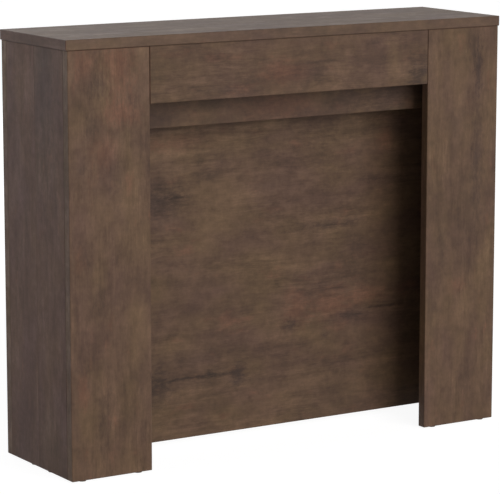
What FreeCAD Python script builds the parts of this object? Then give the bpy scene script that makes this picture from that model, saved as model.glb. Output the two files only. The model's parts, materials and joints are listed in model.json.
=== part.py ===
import FreeCAD, Part
import operator
import os
from types import SimpleNamespace
import Sketcher

# Extending console table: two half frames that part at mid-depth and draw out on two bundles of slides.
# Origin on the floor under the middle of the closed table, X along the front, Y to the rear, Z up.

# Driving dimensions in millimetres
dimensions = {
    "top_length": 900,
    "depth": 242,
    "height": 757,
    "top_thickness": 18,
    "board_thickness": 18,
    "end_overhang": 3,
    "split_gap": 0.4,
    "edge_bevel": 0.8,
    "leg_width": 157,
    "fascia_height": 98,
    "fascia_gap": 0.8,
    "rail_setback": 55,
    "rail_height": 98,
    "panel_setback": 2,
    "panel_floor_gap": 15,
    "slide_height": 48,
    "slide_headroom": 1,
    "slide_footroom": 2,
    "slide_end_gap": 3,
    "slide_side_gap": 20,
    "slide_web": 4,
    "slide_flange": 3,
    "slide_channel": 7.8,
    "slide_lip": 2.6,
    "slide_lip_height": 8,
    "slide_running_gap": 0.6,
    "slide_neck_height": 12,
    "shoe_length": 23.6,
    "shoe_wall": 1.6,
    "shoe_clearance": 0.3,
    "stop_strip_length": 26,
    "stop_clearance": 0.4,
    "bracket_gauge": 2,
    "bracket_leg": 18,
    "bracket_width": 16,
    "bracket_upright": 30,
    "screw_head_diameter": 7,
    "screw_head_height": 2.2,
    "screw_diameter": 3.5,
    "wood_screw_length": 16,
    "web_screw_length": 5.5,
    "dowel_diameter": 8,
    "dowel_length": 30,
    "dowel_face_bite": 12,
    "pin_diameter": 8,
    "pin_length": 40,
    "cam_diameter": 15,
    "cam_depth": 12.5,
    "cam_backset": 24,
    "bolt_diameter": 6,
    "bolt_bite": 11,
    "glide_diameter": 14,
    "glide_height": 2,
    "glide_nail_diameter": 2.5,
    "glide_nail_length": 12,
    "bore_clearance": 0.05,
    "bore_end_gap": 0.5,
    "overrun": 1,
}

# Places along a board, as shares of its length, width or height
leg_dowel_shares = (0.12, 0.88)
leg_cam_shares = (0.28, 0.72)
fascia_dowel_shares = (0.12, 0.88)
rail_dowel_shares = (0.25, 0.75)
panel_dowel_shares = (0.1, 0.9)
panel_cam_shares = (0.3, 0.7)
side_top_dowel_share = 0.65
side_top_cam_share = 0.3
leg_top_dowel_share = 0.5
pin_shares = (0, 0.8)
leg_glide_shares = (0.15, 0.85)
side_glide_share = 0.7

slide_count = 10

# Flats round the pins, screws and bores, which are many, and round the discs that show
rod_flat_count = 8
disc_flat_count = 12

doc = FreeCAD.newDocument("extending_console_table")
sheet = doc.addObject("Spreadsheet::Sheet", "sizes")
for row, (name, number) in enumerate(dimensions.items(), start=1):
    sheet.set(f"A{row}", name)
    sheet.set(f"B{row}", str(number))
    sheet.setAlias(f"B{row}", name)
doc.recompute()


class Size:
    """A length with the sheet expression that gives it."""

    signs = {"+": operator.add, "-": operator.sub, "*": operator.mul, "/": operator.truediv}

    def __init__(self, value, text=None):
        self.value = value
        self.text = text or str(value)

    def joined(self, sign, other):
        if not isinstance(other, Size):
            other = Size(other)
        return Size(self.signs[sign](self.value, other.value), f"({self.text} {sign} {other.text})")

    def __add__(self, other):
        return self.joined("+", other)

    def __sub__(self, other):
        return self.joined("-", other)

    def __mul__(self, other):
        return self.joined("*", other)

    def __truediv__(self, other):
        return self.joined("/", other)

    def __neg__(self):
        return self * -1


s = SimpleNamespace(**{name: Size(float(getattr(sheet, name)), f"sizes.{name}") for name in dimensions})
zero = Size(0)

# Lines that the boards share; the front half lies at negative Y and the left side at negative X
half_length = s.top_length / 2
half_depth = s.depth / 2
half_frame = half_length - s.end_overhang
split = s.split_gap / 2
top_under = s.height - s.top_thickness
inner_x = half_frame - s.board_thickness
inner_y = half_depth - s.board_thickness
leg_inner_x = half_frame - s.leg_width
side_mid_x = half_frame - s.board_thickness / 2
leg_mid_y = half_depth - s.board_thickness / 2
leg_height = top_under - s.glide_height
slide_base = top_under - s.slide_headroom - s.slide_height
slide_floor = slide_base - s.slide_footroom
rail_mid_y = half_depth - s.rail_setback - s.board_thickness / 2
panel_mid_y = s.panel_setback + s.board_thickness / 2
panel_height = slide_floor - s.panel_floor_gap

# Section of the slides
slide_length = (inner_y - s.slide_end_gap) * 2
slide_pitch = s.slide_web + s.slide_channel + s.slide_lip + s.slide_running_gap
slide_mid = slide_base + s.slide_height / 2
head_room = s.shoe_wall + s.shoe_clearance
head_thickness = s.slide_channel - head_room * 2
head_height = s.slide_height - s.slide_flange * 2 - head_room * 2
neck_length = s.slide_running_gap + s.slide_lip + head_room
stage_travel = slide_length - s.shoe_length - s.stop_strip_length - s.stop_clearance

turns = {
    "X": FreeCAD.Rotation(FreeCAD.Vector(0, 1, 0), 90),
    "Y": FreeCAD.Rotation(FreeCAD.Vector(1, 0, 0), -90),
    "Z": FreeCAD.Rotation(),
}
across = FreeCAD.Vector(1, 0, 0)
rearward = FreeCAD.Vector(0, 1, 0)
nodes = {}


def bind(item, prop, size):
    item.setExpression(prop, size.text)


def place(item, corner):
    for axis, size in zip("xyz", corner):
        bind(item, f"Placement.Base.{axis}", size)


def rod(name, axis, start, diameter, length, flats=rod_flat_count):
    item = doc.addObject("Part::Prism", name)
    item.Polygon = flats
    item.Placement = FreeCAD.Placement(FreeCAD.Vector(), turns[axis])
    bind(item, "Circumradius", diameter / 2)
    bind(item, "Height", length)
    place(item, start)
    return item


def moved(point, axis, distance):
    return [place + distance if letter == axis else place for letter, place in zip("XYZ", point)]


def box(name, corner, far_corner):
    item = doc.addObject("Part::Box", name)
    for prop, low, high in zip(("Length", "Width", "Height"), corner, far_corner):
        bind(item, prop, high - low)
    place(item, corner)
    return item


def mirrored(name, source, normal):
    item = doc.addObject("Part::Mirroring", name)
    item.Source = source
    item.Normal = normal
    return item


def group(name, members):
    item = doc.addObject("Part::Compound", name)
    item.Links = members
    return item


def both_sides(name, members):
    left = group(name + "_left", members)
    return group(name, [left, mirrored(name + "_right", left, across)])


def cut(name, base, tools):
    tool = tools[0]
    if len(tools) > 1:
        tool = doc.addObject("Part::MultiFuse", name + "_bores")
        tool.Shapes = tools
    item = doc.addObject("Part::Cut", name)
    item.Base = base
    item.Tool = tool
    return item


def cut_both_sides(name, base, tools):
    left = cut(name + "_left_bored", base, tools)
    item = doc.addObject("Part::Cut", name)
    item.Base = left
    item.Tool = mirrored(name + "_right_bores", left.Tool, across)
    return item


def extrusion(name, plane, level, length, points):
    """A straight-sided outline on an origin plane, padded along that plane's normal from a level."""
    body = doc.addObject("PartDesign::Body", name)
    sketch = body.newObject("Sketcher::SketchObject", name + "_outline")
    support = next(item for item in body.Origin.OriginFeatures if item.Role == plane + "_Plane")
    sketch.AttachmentSupport = [(support, "")]
    sketch.MapMode = "FlatFace"
    bind(sketch, "AttachmentOffset.Base.z", level)
    corners = [FreeCAD.Vector(u.value, v.value, 0) for u, v in points]
    following = corners[1:] + corners[:1]
    for corner, next_corner in zip(corners, following):
        sketch.addGeometry(Part.LineSegment(corner, next_corner), False)
    for line in range(len(points)):
        sketch.addConstraint(Sketcher.Constraint("Coincident", line, 2, (line + 1) % len(points), 1))
    for line, point in enumerate(points):
        for kind, size in zip(("DistanceX", "DistanceY"), point):
            constraint = sketch.addConstraint(Sketcher.Constraint(kind, -1, 1, line, 1, size.value))
            bind(sketch, f"Constraints[{constraint}]", size)
    pad = body.newObject("PartDesign::Pad", name + "_pad")
    pad.Profile = sketch
    bind(pad, "Length", length)
    return body


def lies_at(edge, depth):
    return all(round(vertex.Y - depth.value, 6) == 0 for vertex in edge.Vertexes)


def board(name, plane, level, thickness, corner, far_corner, butted_depths=()):
    """A rectangular board with its edges eased, but for those that butt against a board at the named depths."""
    (u, v), (far_u, far_v) = corner, far_corner
    body = extrusion(name, plane, level, thickness, [(u, v), (far_u, v), (far_u, far_v), (u, far_v)])
    pad = body.Tip
    doc.recompute()
    eased = body.newObject("PartDesign::Chamfer", name + "_edges")
    free_edges = []
    for number, edge in enumerate(pad.Shape.Edges, start=1):
        if not any(lies_at(edge, depth) for depth in butted_depths):
            free_edges.append(f"Edge{number}")
    eased.Base = (pad, free_edges)
    bind(eased, "Size", s.edge_bevel)
    return body


def joint_pin(name, axis, start, diameter, length):
    """A round pin and the bore that takes it across two boards."""
    pin = rod(name, axis, start, diameter, length)
    bore_start = moved(start, axis, -s.bore_end_gap)
    bore_length = length + s.bore_end_gap * 2
    bore = rod(name + "_bore", axis, bore_start, diameter + s.bore_clearance * 2, bore_length)
    return pin, bore


def dowels(name, axis, starts):
    pairs = []
    for number, start in enumerate(starts):
        pairs.append(joint_pin(f"{name}_{number}", axis, start, s.dowel_diameter, s.dowel_length))
    return [pin for pin, bore in pairs], [bore for pin, bore in pairs]


def cam_lock(name, face, cam_axis, bolt_axis, towards):
    """A cam disc sunk flush below a face, and the bolt that runs from its centre into the next board."""
    cam_bore_diameter = s.cam_diameter + s.bore_clearance * 2
    cam_bore_depth = s.cam_depth + s.bore_end_gap
    bolt_length = s.cam_backset + s.bolt_bite
    centre = moved(face, cam_axis, -s.board_thickness / 2)
    bolt_start = moved(centre, bolt_axis, -bolt_length) if towards < 0 else centre
    disc_start = moved(face, cam_axis, -s.cam_depth)
    disc = rod(name + "_disc", cam_axis, disc_start, s.cam_diameter, s.cam_depth, disc_flat_count)
    bolt, bolt_bore = joint_pin(name + "_bolt", bolt_axis, bolt_start, s.bolt_diameter, bolt_length)
    bore_start = moved(face, cam_axis, -cam_bore_depth)
    bore_length = cam_bore_depth + s.overrun
    cam_bore = rod(name + "_bore", cam_axis, bore_start, cam_bore_diameter, bore_length, disc_flat_count)
    cam = cut(name, disc, [bolt_bore])
    return SimpleNamespace(cam=cam, bolt=bolt, cam_bore=cam_bore, bolt_bore=bolt_bore)


def screw(name, axis, seat, towards, length):
    """A pan-head screw seated on a face, with the bore for its shank."""
    head_low = zero if towards < 0 else -s.screw_head_height
    shank_low = -length if towards < 0 else zero
    head_start = moved(seat, axis, head_low)
    head = rod(name + "_head", axis, head_start, s.screw_head_diameter, s.screw_head_height, disc_flat_count)
    shank, bore = joint_pin(name + "_shank", axis, moved(seat, axis, shank_low), s.screw_diameter, length)
    item = doc.addObject("Part::Fuse", name)
    item.Base = head
    item.Tool = shank
    return item, bore


def floor_glide(name, x, y):
    """A round glide with the nail that holds it under a board."""
    disc = rod(name + "_disc", "Z", (x, y, zero), s.glide_diameter, s.glide_height, disc_flat_count)
    nail_start = (x, y, s.glide_height)
    nail, bore = joint_pin(name + "_nail", "Z", nail_start, s.glide_nail_diameter, s.glide_nail_length)
    item = doc.addObject("Part::Fuse", name)
    item.Base = disc
    item.Tool = nail
    return item, bore


# Dowels, cam locks and glides of the front left quarter, which the other quarters mirror
leg_heights = [s.glide_height + leg_height * share for share in leg_dowel_shares]
leg_dowels, leg_dowel_bores = dowels(
    "leg_dowel", "Y", [(-side_mid_x, -inner_y - s.dowel_face_bite, height) for height in leg_heights]
)
fascia_heights = [top_under - s.fascia_height * share for share in fascia_dowel_shares]
fascia_dowels, fascia_dowel_bores = dowels(
    "fascia_dowel",
    "X",
    [(-leg_inner_x - s.dowel_length / 2, -leg_mid_y, height) for height in fascia_heights],
)
top_dowel_level = top_under - s.dowel_length + s.dowel_face_bite
top_dowel_places = [
    (-side_mid_x, -inner_y * side_top_dowel_share),
    (-leg_inner_x - s.leg_width * leg_top_dowel_share, -leg_mid_y),
]
top_dowel_starts = [(x, y, top_dowel_level) for x, y in top_dowel_places]
top_dowels, top_dowel_bores = dowels("top_dowel", "Z", top_dowel_starts)
side_dowel_bore, leg_dowel_bore = top_dowel_bores

leg_cams = [
    cam_lock(f"leg_cam_{i}", (-inner_x, -inner_y + s.cam_backset, leg_height * share), "X", "Y", -1)
    for i, share in enumerate(leg_cam_shares)
]
top_cam = cam_lock(
    "top_cam", (-inner_x, -inner_y * side_top_cam_share, top_under - s.cam_backset), "X", "Z", 1
)
fascia_cam = cam_lock(
    "fascia_cam", (-leg_inner_x + s.cam_backset, -inner_y, top_under - s.fascia_height / 2), "Y", "X", -1
)
quarter_cams = leg_cams + [top_cam, fascia_cam]

leg_glides = [
    floor_glide(f"leg_glide_{i}", -half_frame + s.leg_width * share, -leg_mid_y)
    for i, share in enumerate(leg_glide_shares)
]
side_glide, side_glide_bore = floor_glide("side_glide", -side_mid_x, -inner_y * (1 - side_glide_share))

# Dowels and cam locks of the front inner rail and of the recessed panel, left end
dowel_end_x = -inner_x - s.dowel_face_bite
rail_heights = [slide_floor - s.rail_height * share for share in rail_dowel_shares]
rail_dowels, rail_dowel_bores = dowels(
    "rail_dowel", "X", [(dowel_end_x, -rail_mid_y, height) for height in rail_heights]
)
rail_rear_y = -rail_mid_y + s.board_thickness / 2
rail_cam = cam_lock(
    "rail_cam", (-inner_x + s.cam_backset, rail_rear_y, slide_floor - s.rail_height / 2), "Y", "X", -1
)
panel_heights = [s.panel_floor_gap + panel_height * share for share in panel_dowel_shares]
panel_dowels, panel_dowel_bores = dowels(
    "panel_dowel", "X", [(dowel_end_x, panel_mid_y, height) for height in panel_heights]
)
panel_rear_y = panel_mid_y + s.board_thickness / 2
panel_cams = [
    cam_lock(
        f"panel_cam_{i}",
        (-inner_x + s.cam_backset, panel_rear_y, s.panel_floor_gap + panel_height * share),
        "Y", "X", -1,
    )
    for i, share in enumerate(panel_cam_shares)
]

# Locating pins between the two half tops
pin_pairs = [
    joint_pin(
        f"top_pin_{i}",
        "Y",
        (-half_length * share, -s.pin_length / 2, top_under + s.top_thickness / 2),
        s.pin_diameter,
        s.pin_length,
    )
    for i, share in enumerate(pin_shares)
]
middle_pin, end_pin = [pin for pin, bore in pin_pairs]
pin_bores = [bore for pin, bore in pin_pairs]
nodes["top_pins"] = group("top_pins", [middle_pin, end_pin, mirrored("right_pin", end_pin, across)])


# Telescopic slides, outermost member first: each runs on the one before it
def slide_outline(outer_x, has_channel, has_tongue):
    web_x = outer_x + s.slide_web
    lip_x = web_x + s.slide_channel
    edge_x = lip_x + s.slide_lip
    top = slide_base + s.slide_height
    flange_low = slide_base + s.slide_flange
    flange_high = top - s.slide_flange
    lip_low = flange_low + s.slide_lip_height
    lip_high = flange_high - s.slide_lip_height
    channel_side = [
        (edge_x, slide_base),
        (edge_x, lip_low),
        (lip_x, lip_low),
        (lip_x, flange_low),
        (web_x, flange_low),
        (web_x, flange_high),
        (lip_x, flange_high),
        (lip_x, lip_high),
        (edge_x, lip_high),
        (edge_x, top),
    ]
    plain_side = [(web_x, slide_base), (web_x, top)]
    points = [(outer_x, slide_base)]
    points += channel_side if has_channel else plain_side
    points += [(outer_x, top)]
    if has_tongue:
        neck_x = outer_x - neck_length
        head_x = neck_x - head_thickness
        neck = s.slide_neck_height / 2
        head = head_height / 2
        points += [
            (outer_x, slide_mid + neck),
            (neck_x, slide_mid + neck),
            (neck_x, slide_mid + head),
            (head_x, slide_mid + head),
            (head_x, slide_mid - head),
            (neck_x, slide_mid - head),
            (neck_x, slide_mid - neck),
            (outer_x, slide_mid - neck),
        ]
    return points


def shoe_outline(outer_x):
    neck_x = outer_x - neck_length
    head_x = neck_x - head_thickness
    inside_x = neck_x + s.shoe_wall
    outside_x = head_x - s.shoe_wall
    neck = s.slide_neck_height / 2
    head = head_height / 2
    wall = head + s.shoe_wall
    return [
        (inside_x, slide_mid - neck),
        (inside_x, slide_mid - wall),
        (outside_x, slide_mid - wall),
        (outside_x, slide_mid + wall),
        (inside_x, slide_mid + wall),
        (inside_x, slide_mid + neck),
        (neck_x, slide_mid + neck),
        (neck_x, slide_mid + head),
        (head_x, slide_mid + head),
        (head_x, slide_mid - head),
        (neck_x, slide_mid - head),
        (neck_x, slide_mid - neck),
    ]


def stop_strips(name, outer_x):
    low_x = outer_x + s.slide_web
    high_x = low_x + s.slide_channel
    front_y = -slide_length / 2
    rear_y = front_y + s.stop_strip_length
    low_z = slide_base + s.slide_flange
    high_z = slide_base + s.slide_height - s.slide_flange
    lower = box(name + "_lower", (low_x, front_y, low_z), (high_x, rear_y, low_z + s.shoe_wall))
    upper = box(name + "_upper", (low_x, front_y, high_z - s.shoe_wall), (high_x, rear_y, high_z))
    return [lower, upper]


first_x = -inner_x + s.slide_side_gap
slides = []
for index in range(slide_count):
    outer_x = first_x + slide_pitch * index
    is_first = index == 0
    is_last = index == slide_count - 1
    outline = slide_outline(outer_x, has_channel=not is_last, has_tongue=not is_first)
    slides.append(extrusion(f"slide_{index + 1}_bar", "XZ", -slide_length / 2, slide_length, outline))
    nylon = [] if is_last else stop_strips(f"strip_{index + 1}", outer_x)
    if not is_first:
        shoe = f"shoe_{index + 1}"
        nylon.append(extrusion(shoe, "XZ", -slide_length / 2, s.shoe_length, shoe_outline(outer_x)))
    nodes[f"slide_shoes_{index + 1}"] = both_sides(f"slide_shoes_{index + 1}", nylon)


# Angle brackets that fix the outermost slide to the rear half and the innermost one to the front half
def angle_points(corner_u, corner_v, along_u, along_v, length_u, length_v):
    gauge_u = s.bracket_gauge * along_u
    gauge_v = s.bracket_gauge * along_v
    end_u = length_u * along_u
    end_v = length_v * along_v
    return [
        (corner_u, corner_v),
        (corner_u + end_u, corner_v),
        (corner_u + end_u, corner_v + gauge_v),
        (corner_u + gauge_u, corner_v + gauge_v),
        (corner_u + gauge_u, corner_v + end_v),
        (corner_u, corner_v + end_v),
    ]


def slide_fixing(half, web_x, away, seat_y, frame_y, along):
    """The two brackets of one slide with their screws; away is the free side of its web."""
    seat_outline = angle_points(web_x, slide_floor, away, 1, s.bracket_leg, s.bracket_upright)
    seat = extrusion(f"{half}_seat", "XZ", -seat_y - s.bracket_width / 2, s.bracket_width, seat_outline)
    end_outline = angle_points(web_x, frame_y, away, along, s.bracket_leg, s.bracket_leg)
    end_level = slide_mid - s.bracket_upright / 2
    end = extrusion(f"{half}_end", "XY", end_level, s.bracket_upright, end_outline)
    foot_x = web_x + (s.bracket_leg + s.bracket_gauge) / 2 * away
    head_x = web_x + s.bracket_gauge * away
    foot_z = slide_floor + s.bracket_gauge
    upright_z = slide_floor + s.bracket_upright * 2 / 3
    flange_y = frame_y + s.bracket_gauge * along
    web_y = frame_y + (s.bracket_leg + s.bracket_gauge) / 2 * along
    to_board = screw(f"{half}_seat_screw", "Z", (foot_x, seat_y, foot_z), -1, s.wood_screw_length)
    to_web = screw(f"{half}_seat_web_screw", "X", (head_x, seat_y, upright_z), -away, s.web_screw_length)
    to_frame = screw(f"{half}_end_screw", "Y", (foot_x, flange_y, slide_mid), -along, s.wood_screw_length)
    to_end = screw(f"{half}_end_web_screw", "X", (head_x, web_y, slide_mid), -away, s.web_screw_length)
    fixings = [to_board, to_web, to_frame, to_end]
    brackets = [
        cut(f"{half}_seat_bracket", seat, [to_board[1], to_web[1]]),
        cut(f"{half}_end_bracket", end, [to_frame[1], to_end[1]]),
    ]
    nodes[f"{half}_slide_brackets"] = both_sides(f"{half}_slide_brackets", brackets)
    nodes[f"{half}_screws"] = both_sides(f"{half}_screws", [item for item, bore in fixings])
    return SimpleNamespace(board=to_board[1], frame=to_frame[1], web=[to_web[1], to_end[1]])


last_web_x = first_x + slide_pitch * (slide_count - 1) + s.slide_web
front_fixing = slide_fixing("front", last_web_x, 1, -rail_mid_y, -inner_y, 1)
rear_fixing = slide_fixing("rear", first_x, -1, panel_mid_y, inner_y, -1)
slides[0] = cut("slide_1_bored", slides[0], rear_fixing.web)
slides[-1] = cut("slide_last_bored", slides[-1], front_fixing.web)
for index, slide in enumerate(slides, start=1):
    nodes[f"left_slide_{index}"] = slide
    nodes[f"right_slide_{index}"] = mirrored(f"right_slide_{index}", slide, across)

# Half tops
top_blank = board(
    "top_blank", "XY", top_under, s.top_thickness, (-half_length, -half_depth), (half_length, -split), (-split,)
)
top_tools = top_dowel_bores + [top_cam.bolt_bore] + pin_bores
nodes["front_top"] = cut_both_sides("front_top", top_blank, top_tools)
nodes["rear_top"] = mirrored("rear_top", nodes["front_top"], rearward)

# Leg panels
leg_blank = board(
    "leg_blank", "XZ", inner_y, s.board_thickness, (-half_frame, s.glide_height), (-leg_inner_x, top_under)
)
leg_tools = leg_dowel_bores + fascia_dowel_bores + [leg_dowel_bore, fascia_cam.bolt_bore]
leg_tools += [cam.bolt_bore for cam in leg_cams] + [bore for glide, bore in leg_glides]
leg = cut("leg", leg_blank, leg_tools)
rear_leg = mirrored("rear_leg", leg, rearward)
nodes["front_left_leg"] = cut("front_left_leg", leg, [front_fixing.frame])
nodes["rear_left_leg"] = cut("rear_left_leg", rear_leg, [rear_fixing.frame])

# Side panels
side_blank = board(
    "side_blank", "YZ", -half_frame, s.board_thickness, (-inner_y, s.glide_height), (-split, top_under),
    (-inner_y, -split)
)
side_tools = leg_dowel_bores + [side_dowel_bore, top_cam.bolt_bore, top_cam.cam_bore, side_glide_bore]
for cam in leg_cams:
    side_tools += [cam.bolt_bore, cam.cam_bore]
side = cut("side", side_blank, side_tools)
rear_side = mirrored("rear_side", side, rearward)
nodes["front_left_side"] = cut("front_left_side", side, rail_dowel_bores + [rail_cam.bolt_bore])
panel_bolt_bores = [cam.bolt_bore for cam in panel_cams]
nodes["rear_left_side"] = cut("rear_left_side", rear_side, panel_dowel_bores + panel_bolt_bores)
for name in ("front_left_leg", "rear_left_leg", "front_left_side", "rear_left_side"):
    right_name = name.replace("left", "right")
    nodes[right_name] = mirrored(right_name, nodes[name], across)

# Fascias, flush between the leg panels
fascia_end = leg_inner_x - s.fascia_gap
fascia_blank = board(
    "fascia_blank", "XZ", inner_y, s.board_thickness,
    (-fascia_end, top_under - s.fascia_height), (fascia_end, top_under),
)
fascia_tools = fascia_dowel_bores + [fascia_cam.bolt_bore, fascia_cam.cam_bore]
fascia = cut_both_sides("fascia", fascia_blank, fascia_tools)
nodes["front_fascia"] = cut_both_sides("front_fascia", fascia, [front_fixing.frame])
nodes["rear_fascia"] = mirrored("rear_fascia", fascia, rearward)

# Front inner rail
rail_blank = board(
    "rail_blank", "XZ", -rail_rear_y, s.board_thickness,
    (-inner_x, slide_floor - s.rail_height), (inner_x, slide_floor),
)
rail_tools = rail_dowel_bores + [rail_cam.bolt_bore, rail_cam.cam_bore, front_fixing.board]
nodes["front_rail"] = cut_both_sides("front_rail", rail_blank, rail_tools)

# Recessed panel of the rear half
panel_blank = board(
    "panel_blank", "XZ", -panel_rear_y, s.board_thickness,
    (-inner_x, s.panel_floor_gap), (inner_x, slide_floor),
)
panel_tools = panel_dowel_bores + [rear_fixing.board]
for cam in panel_cams:
    panel_tools += [cam.bolt_bore, cam.cam_bore]
nodes["recessed_panel"] = cut_both_sides("recessed_panel", panel_blank, panel_tools)


# Fasteners and glides as groups, one set for each half
def half_groups(kind, quarter, front_extra, rear_extra):
    quarter_group = group(f"quarter_{kind}", quarter)
    rear_quarter = mirrored(f"rear_quarter_{kind}", quarter_group, rearward)
    nodes[f"front_{kind}"] = both_sides(f"front_{kind}", [quarter_group] + front_extra)
    nodes[f"rear_{kind}"] = both_sides(f"rear_{kind}", [rear_quarter] + rear_extra)


half_groups("dowels", leg_dowels + fascia_dowels + top_dowels, rail_dowels, panel_dowels)
for kind, field in (("cams", "cam"), ("cam_bolts", "bolt")):
    quarter, rear_extra = [[getattr(lock, field) for lock in locks] for locks in (quarter_cams, panel_cams)]
    half_groups(kind, quarter, [getattr(rail_cam, field)], rear_extra)
half_groups("glides", [glide for glide, bore in leg_glides] + [side_glide], [], [])

doc.recompute()
for item in doc.Objects:
    if "Invalid" in item.State or "Error" in item.State:
        raise RuntimeError(f"{item.Name} did not build: {item.State}")
for name, item in nodes.items():
    if item.Shape.isNull() or not item.Shape.isValid():
        raise RuntimeError(f"{name} has no valid shape")

os.makedirs("parts", exist_ok=True)
for name, item in nodes.items():
    item.Label = name
    item.Shape.exportStep(f"parts/{name}.step")
    print(f"{name}: {len(item.Shape.Solids)} solids, {item.Shape.Volume:.0f} mm3")
print(f"{len(nodes)} nodes, slide pitch {slide_pitch.value:.2f}, slide length {slide_length.value:.1f}")
print(f"stage travel {stage_travel.value:.2f}, extension {stage_travel.value * (slide_count - 1):.0f}")
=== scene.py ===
import json
import math
import bpy
import numpy as np
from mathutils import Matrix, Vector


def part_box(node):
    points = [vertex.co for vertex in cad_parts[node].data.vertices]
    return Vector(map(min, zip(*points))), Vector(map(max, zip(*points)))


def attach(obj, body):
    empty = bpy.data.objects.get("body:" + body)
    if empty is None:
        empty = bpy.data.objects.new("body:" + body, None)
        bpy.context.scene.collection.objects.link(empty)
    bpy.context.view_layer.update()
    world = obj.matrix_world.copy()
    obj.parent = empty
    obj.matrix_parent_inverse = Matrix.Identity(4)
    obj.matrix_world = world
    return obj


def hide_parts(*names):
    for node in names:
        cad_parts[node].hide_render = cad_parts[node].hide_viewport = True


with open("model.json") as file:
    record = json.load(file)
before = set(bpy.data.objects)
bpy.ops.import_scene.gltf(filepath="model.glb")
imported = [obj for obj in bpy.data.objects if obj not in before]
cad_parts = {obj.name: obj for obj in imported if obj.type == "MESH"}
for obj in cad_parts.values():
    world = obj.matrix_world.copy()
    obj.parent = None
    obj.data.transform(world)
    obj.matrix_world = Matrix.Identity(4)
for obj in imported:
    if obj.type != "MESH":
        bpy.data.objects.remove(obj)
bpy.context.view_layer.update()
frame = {"nodes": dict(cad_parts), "record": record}
nodes = frame["nodes"]
mm = 0.001
print("frame loaded:", len(nodes), "nodes")


def hexToLinear(text):
    # sRGB hex to linear light, channel by channel
    channels = [int(text[i:i + 2], 16) / 255 for i in (1, 3, 5)]
    return [c / 12.92 if c <= 0.04045 else ((c + 0.055) / 1.055) ** 2.4 for c in channels] + [1.0]


def addNode(tree, kind, values=None, links=None, **settings):
    # settings are the node's properties, values its own sockets, links the sockets that feed it;
    # sockets that share a name go by number, such as a Mix node's factor, 0, and its colours, 6 and 7
    node = tree.nodes.new(kind)
    for name, value in settings.items():
        setattr(node, name, value)
    for key, value in (values or {}).items():
        node.inputs[key].default_value = value
    for key, socket in (links or {}).items():
        tree.links.new(socket, node.inputs[key])
    return node


def fromTo(given, wanted):
    # values of a Map Range node: the span that goes in and the span that comes out
    return {1: given[0], 2: given[1], 3: wanted[0], 4: wanted[1]}


def newMaterial(name):
    # an empty material and its node tree
    material = bpy.data.materials.new(name)
    material.use_nodes = True
    material.node_tree.nodes.clear()
    return material, material.node_tree


def perMetre(sizes):
    # repeats per metre of a pattern whose features are this many millimetres long
    return [1 / (size * mm) for size in sizes]


def setSlots(node, material):
    for materialSlot in nodes[node].material_slots:
        materialSlot.material = material


weldDigits = 6  # decimals of a metre to which corners are rounded, so that those of loose triangles meet


def solidsOf(node):
    # corners of each solid in a CAD node: triangles hand on the lowest corner number that they hold,
    # until none changes
    mesh = nodes[node].data
    corners = np.empty(len(mesh.vertices) * 3, np.float32)
    mesh.vertices.foreach_get("co", corners)
    triangles = np.empty(len(mesh.loops), np.int32)
    mesh.loops.foreach_get("vertex_index", triangles)
    places, number = np.unique(corners.reshape(-1, 3).round(weldDigits), axis=0, return_inverse=True)
    triangles = number.ravel()[triangles].reshape(-1, 3)
    label = np.arange(len(places))
    before = None
    while not np.array_equal(label, before):
        before = label.copy()
        np.minimum.at(label, triangles, label[triangles].min(axis=1, keepdims=True))
    return [places[label == solid] for solid in np.unique(label)]


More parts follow.
